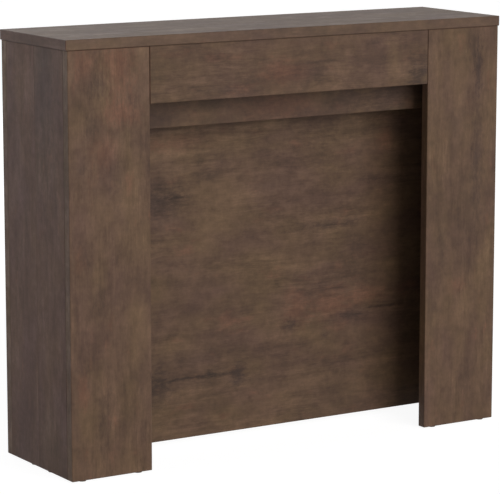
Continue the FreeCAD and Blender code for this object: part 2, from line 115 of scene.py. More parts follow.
# Smoked oak decor: melamine-faced chipboard, printed paper pressed under a matt embossed resin skin.
# The eye gets a brown ground with soft blotches, veins and short dark pores along the grain, ripples
# across it, faint reddish blushes, dark smudges and cracks, and a broad grey sheen at low angles. Some smudge
# marks are painted shade.
oakDecor = {
    "grey": "#553f33",
    "brown": "#5b4535",
    "tan": "#614b37",
    "blush": "#6e4b3a",
    "smudgeAndShade": "#392a23",
    "crack": "#1f1510",
    "edging": "#52382c",             # strips on the ends of the boards
    "sideGround": ("#553b33", "#5b4135", "#614737"),  # the side panels come from a redder sheet
    "groundStops": (0.32, 0.5, 0.68),  # noise at which each tint of the ground is pure
    # patterns: size in mm along the grain, across it and into the board, octaves and how much each adds,
    # and the stretch of noise that it is cut from
    "patterns": {
        "warp": {"size": (150, 70, 70), "detail": 3.0, "roughness": 0.6, "stretch": 3.1},
        "tear": {"size": (30, 13, 13), "detail": 3.0, "roughness": 0.6, "stretch": 31.7},
        "fray": {"size": (16, 6, 6), "detail": 4.0, "roughness": 0.75, "stretch": 5.7},
        "tint": {"size": (130, 60, 60), "detail": 2.0, "roughness": 0.55, "stretch": 0.0},
        "blush": {"size": (70, 32, 32), "detail": 4.0, "roughness": 0.65, "stretch": 11.3},
        "smudgeAndShade": {"size": (120, 36, 36), "detail": 4.0, "roughness": 0.65, "stretch": 23.9},
        "zone": {"size": (170, 60, 60), "detail": 2.0, "roughness": 0.5, "stretch": 41.9},
        "blotch": {"size": (85, 48, 48), "detail": 5.0, "roughness": 0.75, "stretch": 7.7},
        "mottle": {"size": (26, 15, 15), "detail": 3.0, "roughness": 0.7, "stretch": 43.7},
        "ripple": {"size": (12, 22, 22), "detail": 3.0, "roughness": 0.7, "stretch": 29.9},
        "vein": {"size": (300, 15, 15), "detail": 3.0, "roughness": 0.6, "stretch": 13.1},
        "streak": {"size": (70, 4.5, 4.5), "detail": 3.0, "roughness": 0.7, "stretch": 17.3},
        # real pores are 0.3 mm wide: drawn coarser so that they show
        "pore": {"size": (15, 2.4, 4), "detail": 2.0, "roughness": 0.6, "stretch": 37.1},
    },
    "seedSpread": (1.0, 1.7, 0.6),       # how far a board's seed moves its patterns along each axis
    "warpReach": (0.0, 0.02, 0.02),      # m that the grain wanders sideways
    "tearReach": (0.008, 0.007, 0.0),    # m that the edge of a mark wanders
    "stains": {"blush": (0.58, 0.74, 0.45), "smudgeAndShade": (0.57, 0.8, 0.4)},  # sets in, full, strength
    "markDepth": 8,                      # mm that a mark reaches into its board
    "frayShare": 4.0,                    # how far the fray breaks a mark up
    "frayEdge": (1.9, 3.8),              # distance plus fray: full up to the first, gone past the second
    # shares by which each pattern lightens and darkens the print
    "shares": {"blotch": 0.75, "mottle": 0.3, "ripple": 0.26, "vein": 0.36, "streak": 0.26, "pore": 0.22},
    "zoned": ("vein", "streak", "pore"),  # these fade in calm zones and swell in grainy ones
    "zoneEdge": (0.35, 0.65),            # noise of the calm zones and of the grainy ones
    "zoneSwell": (0.3, 1.5),             # what their patterns are multiplied by
    "leastLean": 0.6,                # a face looks along an axis when its normal has more than this of it
    "sheenTones": (0.8, 1.2),        # darkest and lightest print, and the roughness of each
    "roughness": (0.62, 0.5),
    "specular": 0.2,
    "ior": 1.5,
    "embossing": 0.0004,             # m, depth of the pressed pores
    "embossStrength": 0.4,
    "jointReach": (0.0007, 0.0018),  # m from the underside of the tops over which its dark line fades
    "jointShade": 0.75,
}

# Order of a board's own axes in the frame: along the grain, across it, through the board
axisOrders = {"top": "XYZ", "rail": "XZY", "leg": "ZXY", "side": "ZYX"}


def oakMaterial(node, board):
    s = oakDecor
    along, across, through = axisOrders[board["order"]]
    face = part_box(node)[0]["XYZ".index(through)]
    material, tree = newMaterial("smokedOakDecor." + node)
    place = addNode(tree, "ShaderNodeTexCoord")
    parts = addNode(tree, "ShaderNodeSeparateXYZ", links={0: place.outputs["Object"]})
    facing = addNode(tree, "ShaderNodeSeparateXYZ", links={0: place.outputs["Normal"]})

    def looksAlong(axis):
        # one on the faces that look along this axis of the frame, either way
        lean = addNode(tree, "ShaderNodeMath", {}, {0: facing.outputs[axis]}, operation="ABSOLUTE")
        return addNode(tree, "ShaderNodeMath", {1: s["leastLean"]}, {0: lean.outputs[0]},
                       operation="GREATER_THAN")

    # edging strips on the ends run along their own length
    main = addNode(tree, "ShaderNodeCombineXYZ", links={
        0: parts.outputs[along], 1: parts.outputs[across], 2: parts.outputs[through]})
    ends = addNode(tree, "ShaderNodeCombineXYZ", links={
        0: parts.outputs[across], 1: parts.outputs[through], 2: parts.outputs[along]})
    isEnd = looksAlong(along)
    grain = addNode(tree, "ShaderNodeMix", {}, {
        0: isEnd.outputs[0], 4: main.outputs[0], 5: ends.outputs[0]}, data_type="VECTOR").outputs[1]

    def pattern(kind, source):
        # noise drawn out to the pattern's size, from this board's own stretch of it
        p = s["patterns"][kind]
        seeds = [board["seed"] * share for share in s["seedSpread"]]
        fitted = addNode(tree, "ShaderNodeMapping", {
            "Location": [seeds[0] + p["stretch"], seeds[1] + p["stretch"], seeds[2]],
            "Scale": perMetre(p["size"])}, {"Vector": source})
        return addNode(tree, "ShaderNodeTexNoise", {
            "Scale": 1.0, "Detail": p["detail"], "Roughness": p["roughness"]}, {"Vector": fitted.outputs[0]})

    def wander(kind, reach):
        # places along the grain, pushed aside by a pattern times its reach
        drift = pattern(kind, grain)
        return addNode(tree, "ShaderNodeVectorMath", {1: reach}, {0: drift.outputs["Color"], 2: grain},
                       operation="MULTIPLY_ADD").outputs[0]

    def stain(colour, kind, mask):
        # a tint of the decor laid over the colour, as thick as the mask
        return addNode(tree, "ShaderNodeMix", {7: hexToLinear(s[kind])}, {0: mask.outputs[0], 6: colour},
                       data_type="RGBA").outputs[2]

    # ground of three close tints, with blushes and smudges over it
    wavy = wander("warp", s["warpReach"])
    ground = addNode(tree, "ShaderNodeValToRGB", {}, {0: pattern("tint", wavy).outputs[0]})
    ramp = ground.color_ramp
    ramp.elements.new(s["groundStops"][1])
    tints = board.get("ground", (s["grey"], s["brown"], s["tan"]))
    for element, stop, tint in zip(ramp.elements, s["groundStops"], tints):
        element.position = stop
        element.color = hexToLinear(tint)
    colour = stain(ground.outputs[0], "edging", isEnd)
    for kind, (setsIn, full, strength) in s["stains"].items():
        spread = pattern(kind, wavy)
        mask = addNode(tree, "ShaderNodeMapRange", fromTo((setsIn, full), (0.0, strength)),
                       {0: spread.outputs[0]}, interpolation_type="SMOOTHSTEP")
        colour = stain(colour, kind, mask)

    # marks of this board: spots with torn edges at places in the frame, drawn out along the grain
    torn = wander("tear", s["tearReach"])
    fray = pattern("fray", grain)
    for mark in board["marks"]:
        reach = perMetre([*mark["size"], s["markDepth"]])
        centre = [at * mm + drift / 2 for at, drift in zip(mark["at"], s["tearReach"])] + [face]
        fitted = addNode(tree, "ShaderNodeMapping", {
            "Location": [-c * r for c, r in zip(centre, reach)], "Scale": reach}, {"Vector": torn})
        distance = addNode(tree, "ShaderNodeVectorMath", {}, {0: fitted.outputs[0]}, operation="LENGTH")
        edge = addNode(tree, "ShaderNodeMath", {1: s["frayShare"]}, {
            0: fray.outputs[0], 2: distance.outputs["Value"]}, operation="MULTIPLY_ADD")
        mask = addNode(tree, "ShaderNodeMapRange", fromTo(s["frayEdge"], (mark["strength"], 0.0)),
                       {0: edge.outputs[0]}, interpolation_type="SMOOTHSTEP")
        colour = stain(colour, mark["kind"], mask)

    # light and dark of the print: the board's tone, times one plus each pattern's share of its own swing
    zones = pattern("zone", wavy)
    swell = addNode(tree, "ShaderNodeMapRange", fromTo(s["zoneEdge"], s["zoneSwell"]), {0: zones.outputs[0]})
    light = None
    for kind, share in s["shares"].items():
        swing = pattern(kind, grain if kind == "pore" else wavy)  # pores stay straight
        reach = share * board.get("contrast", 1.0)
        step = addNode(tree, "ShaderNodeMapRange", fromTo((0.0, 1.0), (-reach, reach)), {0: swing.outputs[0]})
        if kind in s["zoned"]:
            step = addNode(tree, "ShaderNodeMath", {}, {0: step.outputs[0], 1: swell.outputs[0]},
                           operation="MULTIPLY")
        if light is None:
            light = addNode(tree, "ShaderNodeMath", {1: board["tone"], 2: board["tone"]},
                            {0: step.outputs[0]}, operation="MULTIPLY_ADD").outputs[0]
        else:
            light = addNode(tree, "ShaderNodeMath", {}, {0: light, 1: step.outputs[0], 2: light},
                            operation="MULTIPLY_ADD").outputs[0]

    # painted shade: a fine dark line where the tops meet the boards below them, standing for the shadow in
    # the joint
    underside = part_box("front_top")[0].z
    gap = addNode(tree, "ShaderNodeMath", {1: underside}, {0: parts.outputs["Z"]}, operation="SUBTRACT")
    away = addNode(tree, "ShaderNodeMath", {}, {0: gap.outputs[0]}, operation="ABSOLUTE")
    line = addNode(tree, "ShaderNodeMapRange", fromTo(s["jointReach"], (s["jointShade"], 1.0)),
                   {0: away.outputs[0]})
    light = addNode(tree, "ShaderNodeMath", {}, {0: light, 1: line.outputs[0]},
                    operation="MULTIPLY").outputs[0]

    sheen = addNode(tree, "ShaderNodeMapRange", fromTo(s["sheenTones"], s["roughness"]), {0: light})
    printAndFaceShade = light
    # painted shade: the broad faces of the tops are darkened, as if less light fell on them
    if "faceShadeShare" in board:  # broad faces a little darker and smoother than the strips on the edges
        isFace = looksAlong(through)
        faceShade = addNode(tree, "ShaderNodeMath", {1: board["faceShadeShare"] - 1, 2: 1.0},
                            {0: isFace.outputs[0]}, operation="MULTIPLY_ADD")
        printAndFaceShade = addNode(tree, "ShaderNodeMath", {}, {0: light, 1: faceShade.outputs[0]},
                          operation="MULTIPLY").outputs[0]
        sheen = addNode(tree, "ShaderNodeMath", {1: -board["faceGloss"]},
                        {0: isFace.outputs[0], 2: sheen.outputs[0]}, operation="MULTIPLY_ADD")
    shaded = addNode(tree, "ShaderNodeVectorMath", {}, {0: colour, "Scale": printAndFaceShade}, operation="SCALE")
    relief = addNode(tree, "ShaderNodeBump", {"Strength": s["embossStrength"], "Distance": s["embossing"]},
                     {"Height": light})
    shader = addNode(tree, "ShaderNodeBsdfPrincipled", {
        "Specular IOR Level": board.get("specular", s["specular"]), "IOR": s["ior"]}, {
        "Base Color": shaded.outputs[0], "Roughness": sheen.outputs[0], "Normal": relief.outputs[0]})
    addNode(tree, "ShaderNodeOutputMaterial", {}, {"Surface": shader.outputs[0]})
    return material


# Each board: the order of its axes, its own stretch of the print, its tone, and the marks that single it out.
# A mark has its kind, and its place in the frame and its size, each along the grain and across it, in mm.
# Some boards have a calmer contrast or a ground of their own. The broad faces of the tops are painted darker
# than their edge strips by a share of the tone, as painted shade against the light from above, and their
# roughness is lower by faceGloss.
halfTop = {"order": "top", "tone": 0.86, "contrast": 0.75, "specular": 0.26, "faceShadeShare": 0.9,
           "faceGloss": 0.02, "marks": []}
boards = {
    "front_top": {**halfTop, "seed": 3.2},
    "rear_top": {**halfTop, "seed": 8.4},
    "front_left_leg": {"order": "leg", "seed": 12.7, "tone": 0.96, "contrast": 0.85, "marks": [
        {"kind": "blush", "at": (716, -418), "size": (26, 18), "strength": 0.6},
        {"kind": "blush", "at": (708, -350), "size": (44, 26), "strength": 0.7},
        {"kind": "smudgeAndShade", "at": (678, -390), "size": (20, 22), "strength": 0.55},
        {"kind": "blush", "at": (630, -348), "size": (18, 30), "strength": 0.7},
        {"kind": "tan", "at": (617, -431), "size": (18, 14), "strength": 0.8},
        {"kind": "smudgeAndShade", "at": (605, -400), "size": (26, 16), "strength": 0.5},
        {"kind": "blush", "at": (566, -380), "size": (26, 22), "strength": 0.45},
        {"kind": "smudgeAndShade", "at": (539, -422), "size": (16, 14), "strength": 0.4},
        {"kind": "smudgeAndShade", "at": (520, -354), "size": (32, 15), "strength": 0.35},
        {"kind": "blush", "at": (509, -331), "size": (16, 8), "strength": 0.5},
        {"kind": "smudgeAndShade", "at": (311, -392), "size": (24, 14), "strength": 0.35},
        {"kind": "blush", "at": (154, -424), "size": (24, 11), "strength": 0.6},
        {"kind": "smudgeAndShade", "at": (95, -384), "size": (50, 12), "strength": 0.5}]},
    "front_right_leg": {"order": "leg", "seed": 17.9, "tone": 0.93, "contrast": 0.85, "marks": [
        {"kind": "smudgeAndShade", "at": (708, 392), "size": (28, 16), "strength": 0.45},
        {"kind": "smudgeAndShade", "at": (666, 404), "size": (40, 8), "strength": 0.9},
        {"kind": "smudgeAndShade", "at": (558, 353), "size": (32, 20), "strength": 0.35},
        {"kind": "tan", "at": (520, 318), "size": (80, 22), "strength": 0.6},
        {"kind": "smudgeAndShade", "at": (505, 403), "size": (90, 10), "strength": 0.65},
        {"kind": "smudgeAndShade", "at": (400, 388), "size": (80, 30), "strength": 0.3},
        {"kind": "smudgeAndShade", "at": (339, 325), "size": (50, 12), "strength": 0.4},
        {"kind": "blush", "at": (264, 362), "size": (12, 18), "strength": 0.5}]},
    "rear_left_leg": {"order": "leg", "seed": 23.3, "tone": 1.0, "marks": []},
    "rear_right_leg": {"order": "leg", "seed": 28.1, "tone": 1.0, "marks": []},
    "front_left_side": {"order": "side", "seed": 33.6, "tone": 0.91, "contrast": 0.7,
                        "ground": oakDecor["sideGround"], "marks": [
        {"kind": "smudgeAndShade", "at": (690, -32), "size": (170, 40), "strength": 0.5},
        # darker towards the bottom
        {"kind": "smudgeAndShade", "at": (30, -50), "size": (90, 90), "strength": 0.35}]},
    "rear_left_side": {"order": "side", "seed": 39.5, "tone": 0.9, "contrast": 0.7,
                       "ground": oakDecor["sideGround"], "marks": [
        {"kind": "blush", "at": (700, 25), "size": (110, 40), "strength": 0.25},
        # darker towards the bottom
        {"kind": "smudgeAndShade", "at": (20, 50), "size": (80, 90), "strength": 0.25}]},
    "front_right_side": {"order": "side", "seed": 44.2, "tone": 1.0,
                         "ground": oakDecor["sideGround"], "marks": []},
    "rear_right_side": {"order": "side", "seed": 49.8, "tone": 1.0,
                        "ground": oakDecor["sideGround"], "marks": []},
    "front_fascia": {"order": "rail", "seed": 54.4, "tone": 0.82, "marks": [
        {"kind": "tan", "at": (-273, 690), "size": (16, 50), "strength": 0.7},
        {"kind": "smudgeAndShade", "at": (-150, 656), "size": (44, 5), "strength": 0.5},
        {"kind": "blush", "at": (-19, 681), "size": (44, 20), "strength": 0.65},
        {"kind": "smudgeAndShade", "at": (45, 694), "size": (50, 3), "strength": 0.45},
        {"kind": "smudgeAndShade", "at": (46, 673), "size": (24, 14), "strength": 0.4},
        {"kind": "grey", "at": (162, 690), "size": (50, 46), "strength": 0.9},
        {"kind": "smudgeAndShade", "at": (174, 722), "size": (10, 8), "strength": 0.5},
        {"kind": "tan", "at": (214, 690), "size": (14, 46), "strength": 0.8},
        {"kind": "smudgeAndShade", "at": (276, 660), "size": (22, 22), "strength": 0.9},
        {"kind": "tan", "at": (283, 651), "size": (9, 8), "strength": 0.9}]},
    "rear_fascia": {"order": "rail", "seed": 59.1, "tone": 1.0, "marks": []},
    "front_rail": {"order": "rail", "seed": 63.7, "tone": 0.7, "marks": [
        {"kind": "tan", "at": (-150, 615), "size": (30, 20), "strength": 0.6},
        {"kind": "blush", "at": (10, 615), "size": (70, 20), "strength": 0.5},
        {"kind": "smudgeAndShade", "at": (150, 620), "size": (30, 25), "strength": 0.35},
        # painted shadow: the right leg's shadow on the rail's right end
        {"kind": "smudgeAndShade", "at": (265, 615), "size": (50, 60), "strength": 0.5}]},
    "recessed_panel": {"order": "rail", "seed": 68.3, "tone": 0.88, "marks": [
        {"kind": "blush", "at": (-160, 552), "size": (60, 14), "strength": 0.35},
        # painted shade: darker under the rail towards the right leg
        {"kind": "smudgeAndShade", "at": (200, 560), "size": (110, 50), "strength": 0.25},
        {"kind": "smudgeAndShade", "at": (-100, 488), "size": (18, 10), "strength": 0.5},
        {"kind": "smudgeAndShade", "at": (-212, 448), "size": (50, 26), "strength": 0.8},
        {"kind": "crack", "at": (-164, 454), "size": (34, 3), "strength": 0.6},
        {"kind": "tan", "at": (-51, 430), "size": (70, 36), "strength": 0.7},
        {"kind": "smudgeAndShade", "at": (30, 460), "size": (28, 10), "strength": 0.35},
        {"kind": "grey", "at": (80, 465), "size": (70, 28), "strength": 0.7},
        {"kind": "smudgeAndShade", "at": (250, 458), "size": (18, 6), "strength": 0.5},
        {"kind": "blush", "at": (284, 529), "size": (16, 18), "strength": 0.6},
        {"kind": "smudgeAndShade", "at": (160, 378), "size": (60, 9), "strength": 0.65},
        {"kind": "smudgeAndShade", "at": (98, 281), "size": (18, 12), "strength": 0.45},
        {"kind": "blush", "at": (86, 229), "size": (22, 34), "strength": 0.55},
        # painted shade: broad darkening towards the right leg's cavity
        {"kind": "smudgeAndShade", "at": (215, 330), "size": (70, 260), "strength": 0.16},
        {"kind": "blush", "at": (168, 228), "size": (44, 24), "strength": 0.6},
        {"kind": "blush", "at": (244, 238), "size": (36, 16), "strength": 0.5},
        {"kind": "smudgeAndShade", "at": (76, 198), "size": (14, 11), "strength": 0.9},
        {"kind": "smudgeAndShade", "at": (207, 203), "size": (36, 8), "strength": 0.9},
        {"kind": "crack", "at": (275, 213), "size": (44, 3), "strength": 0.6},
        {"kind": "smudgeAndShade", "at": (149, 170), "size": (9, 8), "strength": 0.55},
        # darker towards the bottom right
        {"kind": "smudgeAndShade", "at": (150, 60), "size": (100, 50), "strength": 0.2},
        {"kind": "smudgeAndShade", "at": (-150, 160), "size": (70, 14), "strength": 0.3},
        {"kind": "smudgeAndShade", "at": (-222, 110), "size": (40, 30), "strength": 0.8},
        {"kind": "smudgeAndShade", "at": (-130, 122), "size": (90, 14), "strength": 0.4},
        {"kind": "crack", "at": (-140, 124), "size": (70, 3), "strength": 0.65},
        {"kind": "crack", "at": (-99, 127), "size": (10, 6), "strength": 0.7},
        {"kind": "smudgeAndShade", "at": (-39, 116), "size": (13, 20), "strength": 0.9}]},
}
for node, board in boards.items():
    setSlots(node, oakMaterial(node, board))
print("boards dressed:", len(boards))


# Natural anodised aluminium, extruded: satin metal with faint die lines along the bar
aluminiumProfile = {
    "bright": "#c9cbcd",
    "dull": "#b3b6b9",
    "dieLineSize": (4, 900, 1.6),
    "dieLineDetail": 3.0,
    "cloudSize": (60, 200, 60),
    "cloudDetail": 2.0,
    "tintSpan": (0.12, 0.4),         # lines times clouds, from dull to bright
    "glossSpan": (0.3, 0.7),         # lines, from smooth to rough
    "roughness": (0.3, 0.42),
    "lineDepth": 0.00004,
    "lineStrength": 0.4,
}


def anodisedAluminium():
    s = aluminiumProfile
    material, tree = newMaterial("anodisedAluminium")
    place = addNode(tree, "ShaderNodeTexCoord").outputs["Object"]
    lined = addNode(tree, "ShaderNodeMapping", {"Scale": perMetre(s["dieLineSize"])}, {0: place})
    lines = addNode(tree, "ShaderNodeTexNoise", {"Scale": 1.0, "Detail": s["dieLineDetail"]},
                    {"Vector": lined.outputs[0]})
    cloudy = addNode(tree, "ShaderNodeMapping", {"Scale": perMetre(s["cloudSize"])}, {0: place})
    clouds = addNode(tree, "ShaderNodeTexNoise", {"Scale": 1.0, "Detail": s["cloudDetail"]},
                     {"Vector": cloudy.outputs[0]})
    blend = addNode(tree, "ShaderNodeMath", {}, {0: lines.outputs[0], 1: clouds.outputs[0]},
                    operation="MULTIPLY")
    tint = addNode(tree, "ShaderNodeMapRange", fromTo(s["tintSpan"], (0.0, 1.0)), {0: blend.outputs[0]})
    colour = addNode(tree, "ShaderNodeMix", {6: hexToLinear(s["dull"]), 7: hexToLinear(s["bright"])},
                     {0: tint.outputs[0]}, data_type="RGBA")
    gloss = addNode(tree, "ShaderNodeMapRange", fromTo(s["glossSpan"], s["roughness"]), {0: lines.outputs[0]})
    relief = addNode(tree, "ShaderNodeBump", {"Strength": s["lineStrength"], "Distance": s["lineDepth"]},
                     {"Height": lines.outputs[0]})
    shader = addNode(tree, "ShaderNodeBsdfPrincipled", {"Metallic": 1.0}, {
        "Base Color": colour.outputs[2], "Roughness": gloss.outputs[0], "Normal": relief.outputs[0]})
    addNode(tree, "ShaderNodeOutputMaterial", {}, {"Surface": shader.outputs[0]})
    return material


# Small stock: each finish is a fine grain of two close tones with its own gloss and relief; sizes in mm
stockFinishes = {
    # moulded nylon, black: satin with a spark-eroded grain
    "mouldedNylonBlack": {"dark": "#1b1b1c", "pale": "#2a2a2b", "size": (1.4, 1.4, 1.4), "metallic": 0.0,
                          "roughness": (0.42, 0.58), "depth": 0.00006, "ior": 1.53},
    # moulded nylon, brown: satin, a little scuffed
    "mouldedNylonBrown": {"dark": "#3d2f27", "pale": "#4d3d33", "size": (1.6, 1.6, 1.6), "metallic": 0.0,
                          "roughness": (0.45, 0.65), "depth": 0.00006, "ior": 1.53},
    # zinc-plated sheet steel: soft bluish metal with spangled clouds
    "zincPlatedSheet": {"dark": "#a2a6ab", "pale": "#c3c5c6", "size": (6, 6, 6), "metallic": 1.0,
                        "roughness": (0.28, 0.45), "depth": 0.00003, "ior": 1.5},
    # bright zinc-plated wire, headed and rolled: tighter and shinier than the sheet
    "brightZincScrew": {"dark": "#b0b3b6", "pale": "#d0d1d2", "size": (2.2, 2.2, 2.2), "metallic": 1.0,
                        "roughness": (0.22, 0.38), "depth": 0.00003, "ior": 1.5},
    # die-cast zinc: grey, grainy, a little dull
    "dieCastZinc": {"dark": "#85888a", "pale": "#a3a5a6", "size": (1.2, 1.2, 1.2), "metallic": 1.0,
                    "roughness": (0.4, 0.58), "depth": 0.00008, "ior": 1.5},
    # beech, turned and planed: pale with short reddish flecks along the pin
    "turnedBeech": {"dark": "#b78a62", "pale": "#cfa67d", "size": (1.2, 6, 1.2), "metallic": 0.0,
                    "roughness": (0.5, 0.65), "depth": 0.00008, "ior": 1.5},
}
stockGrain = {"detail": 3.0, "roughness": 0.6, "tintSpan": (0.32, 0.68), "glossSpan": (0.3, 0.7),
              "reliefStrength": 0.5}


def stockMaterial(name, s):
    g = stockGrain
    material, tree = newMaterial(name)
    place = addNode(tree, "ShaderNodeTexCoord").outputs["Object"]
    fitted = addNode(tree, "ShaderNodeMapping", {"Scale": perMetre(s["size"])}, {0: place})
    grainy = addNode(tree, "ShaderNodeTexNoise", {
        "Scale": 1.0, "Detail": g["detail"], "Roughness": g["roughness"]}, {"Vector": fitted.outputs[0]})
    tint = addNode(tree, "ShaderNodeMapRange", fromTo(g["tintSpan"], (0.0, 1.0)), {0: grainy.outputs[0]})
    colour = addNode(tree, "ShaderNodeMix", {6: hexToLinear(s["dark"]), 7: hexToLinear(s["pale"])},
                     {0: tint.outputs[0]}, data_type="RGBA")
    gloss = addNode(tree, "ShaderNodeMapRange", fromTo(g["glossSpan"], s["roughness"]),
                    {0: grainy.outputs[0]})
    relief = addNode(tree, "ShaderNodeBump", {"Strength": g["reliefStrength"], "Distance": s["depth"]},
                     {"Height": grainy.outputs[0]})
    shader = addNode(tree, "ShaderNodeBsdfPrincipled", {"Metallic": s["metallic"], "IOR": s["ior"]}, {
        "Base Color": colour.outputs[2], "Roughness": gloss.outputs[0], "Normal": relief.outputs[0]})
    addNode(tree, "ShaderNodeOutputMaterial", {}, {"Surface": shader.outputs[0]})
    return material


finishes = {name: stockMaterial(name, s) for name, s in stockFinishes.items()}
finishes["anodisedAluminium"] = anodisedAluminium()
slotFinishes = {"aluminium_profile": "anodisedAluminium", "nylon_black": "mouldedNylonBlack",
                "brown_nylon": "mouldedNylonBrown", "zinc_plated_steel": "zincPlatedSheet",
                "bright_steel": "brightZincScrew", "zinc_cam": "dieCastZinc", "beech_dowel": "turnedBeech"}
for subpart in frame["record"]["subparts"]:
    if subpart["node"] not in boards:
        setSlots(subpart["node"], finishes[slotFinishes[subpart["material_slot"]]])
print("fittings dressed:", len(nodes) - len(boards))


# Turned fittings: a grid of rows down a profile and steps round its axis, closed by a pole at each end.
# A seat is a row of seven numbers: the outer end's place, the way that it looks, and the length, in m.
lengthColumn = 6
sharpAngle = 40  # degrees between two faces past which their edge is sharp


def turnedPiece(name, radius, height, seats):
    # a point lies radius out along the unit circle of its step and height up the axis; every seat gets
    # a copy, with height zero at the outer end
    rows, steps = radius.shape
    angle = np.arange(steps) * 2 * np.pi / steps
    grid = np.stack([radius * np.cos(angle), radius * np.sin(angle), height], axis=-1).reshape(-1, 3)
    poles = np.array([[0, 0, height[0].mean()], [0, 0, height[-1].mean()]])
    local = np.concatenate([grid, poles]) * mm
    place, facing = seats[:, :3], seats[:, 3:6]
    upright = facing[:, 2:] != 0
    side = np.where(upright, [[1.0, 0.0, 0.0]], [[0.0, 0.0, 1.0]])  # where the first step points
    axes = np.stack([side, np.cross(facing, side), facing], axis=-1)
    points = np.einsum("nij,vj->nvi", axes, local) + place[:, None]
    step = np.arange(steps)
    ahead = (step + 1) % steps
    row = np.arange(rows - 1)[:, None] * steps
    last = (rows - 1) * steps
    quads = np.stack([row + step, row + steps + step, row + steps + ahead, row + ahead], axis=-1)
    lid = np.stack([np.full(steps, rows * steps), step, ahead], axis=-1)
    base = np.stack([np.full(steps, rows * steps + 1), last + ahead, last + step], axis=-1)
    copy = np.arange(len(seats))[:, None, None] * len(local)
    walls = (quads.reshape(-1, 4) + copy).reshape(-1, 4)
    caps = (np.concatenate([lid, base]) + copy).reshape(-1, 3)
    mesh = bpy.data.meshes.new(name)
    mesh.from_pydata(points.reshape(-1, 3).tolist(), [], walls.tolist() + caps.tolist())
    mesh.polygons.foreach_set("use_smooth", np.ones(len(mesh.polygons), bool))
    mesh.set_sharp_from_angle(angle=math.radians(sharpAngle))
    piece = bpy.data.objects.new(name, mesh)
    bpy.context.scene.collection.objects.link(piece)
    return piece


def dress(piece, body, node, slot):
    # the piece rides on its body, stands for the CAD node and takes the finish of its slot
    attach(piece, body)
    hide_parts(node)
    piece.data.materials.append(finishes[slotFinishes[slot]])


def seatsOf(node, headSide):
    # seats of the turned solids in a CAD node; a solid's axis is the odd side of its box
    seats = []
    for solid in solidsOf(node):
        low, high = solid.min(axis=0), solid.max(axis=0)
        size = high - low
        axis = np.abs(size - np.median(size)).argmax()
        facing = np.eye(3)[axis] * headSide(solid, axis)
        seats.append([*(low + high + facing * size[axis]) / 2, *facing, size[axis]])
    return np.array(seats)


# Driver's cross: two arms, deepest at the middle, that rise over these shares of their half-width and reach
driverCross = {"wallShare": 0.35, "tipShare": 0.5}


def crossRecess(radius, s):
    # depth at each point of the grid: the deeper of the two arms, each the product of its two slopes
    angle = np.arange(s["steps"]) * 2 * np.pi / s["steps"]
    wall, tip = driverCross["wallShare"] * s["crossWidth"], driverCross["tipShare"] * s["crossReach"]
    along, across = np.abs(radius * np.cos(angle)), np.abs(radius * np.sin(angle))
    arms = [np.clip((s["crossWidth"] - b) / wall, 0, 1) * np.clip((s["crossReach"] - a) / tip, 0, 1)
            for a, b in ((along, across), (across, along))]
    return s["crossDepth"] * np.maximum(*arms)


# Cam locks: die-cast discs with a raised rim, a driver's cross and a pointer notch, flush in the boards.
# Sizes in mm, the notch's half-angle in radians.
camLock = {
    "radius": 7.5,
    "depth": 12.5,
    "rim": 0.9,                      # its width
    "rimHeight": 0.35,
    "rimSlope": 0.15,
    "rimChamfer": 0.3,
    "groove": (3.0, 4.0),            # where it starts and ends, down from the rim
    "grooveDepth": 0.4,
    "grooveSlope": 0.2,
    "backChamfer": 0.4,
    "middle": 0.3,                   # radius of the row next to the pole
    "faceRows": 15,
    "steps": 48,
    "crossReach": 5.0,
    "crossWidth": 1.15,
    "crossDepth": 3.0,
    "notchAngle": 0.16,
    "notchDepth": 0.5,
    "notchShare": 0.75,              # of the way from the middle to the rim, where the notch starts
}


def camProfile():
    # face rows from the middle to the rim, then down the wall past a shallow groove to the back
    s = camLock
    r, steps, slope = s["radius"], s["steps"], s["grooveSlope"]
    inner, waist = r - s["rim"], r - s["grooveDepth"]
    start, end = s["groove"]
    out = np.concatenate([
        np.linspace(s["middle"], inner, s["faceRows"]),
        [inner + s["rimSlope"], r - s["rimChamfer"], r, r, waist, waist, r, r, r - s["backChamfer"]]])
    down = np.concatenate([
        np.full(s["faceRows"], s["rimHeight"]),
        [0, 0, s["rimChamfer"], start, start + slope, end - slope, end],
        [s["depth"] - s["backChamfer"], s["depth"]]])
    radius = np.repeat(out[:, None], steps, axis=1)
    sunk = np.repeat(down[:, None], steps, axis=1)
    face = sunk <= s["rimHeight"]
    turn = np.abs((np.arange(steps) * 2 * np.pi / steps + np.pi) % (2 * np.pi) - np.pi)
    notch = s["notchDepth"] * np.clip(1 - turn / s["notchAngle"], 0, 1) * (radius > s["notchShare"] * inner)
    sunk += face * (crossRecess(radius, s) + notch)
    return radius, -sunk


def camSide(solid, axis):
    # a cam lock's face lies in the surface of the board that holds it
    low, high = solid.min(axis=0), solid.max(axis=0)
    middle = (low + high) / 2
    for board in boards:
        boardLow, boardHigh = np.array(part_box(board))
        if (boardLow < middle).all() and (middle < boardHigh).all():
            return 1 if boardHigh[axis] - high[axis] < low[axis] - boardLow[axis] else -1


for half in ("front", "rear"):
    seats = seatsOf(half + "_cams", camSide)
    dress(turnedPiece(half + "CamLocks", *camProfile(), seats), half + "_half", half + "_cams", "zinc_cam")


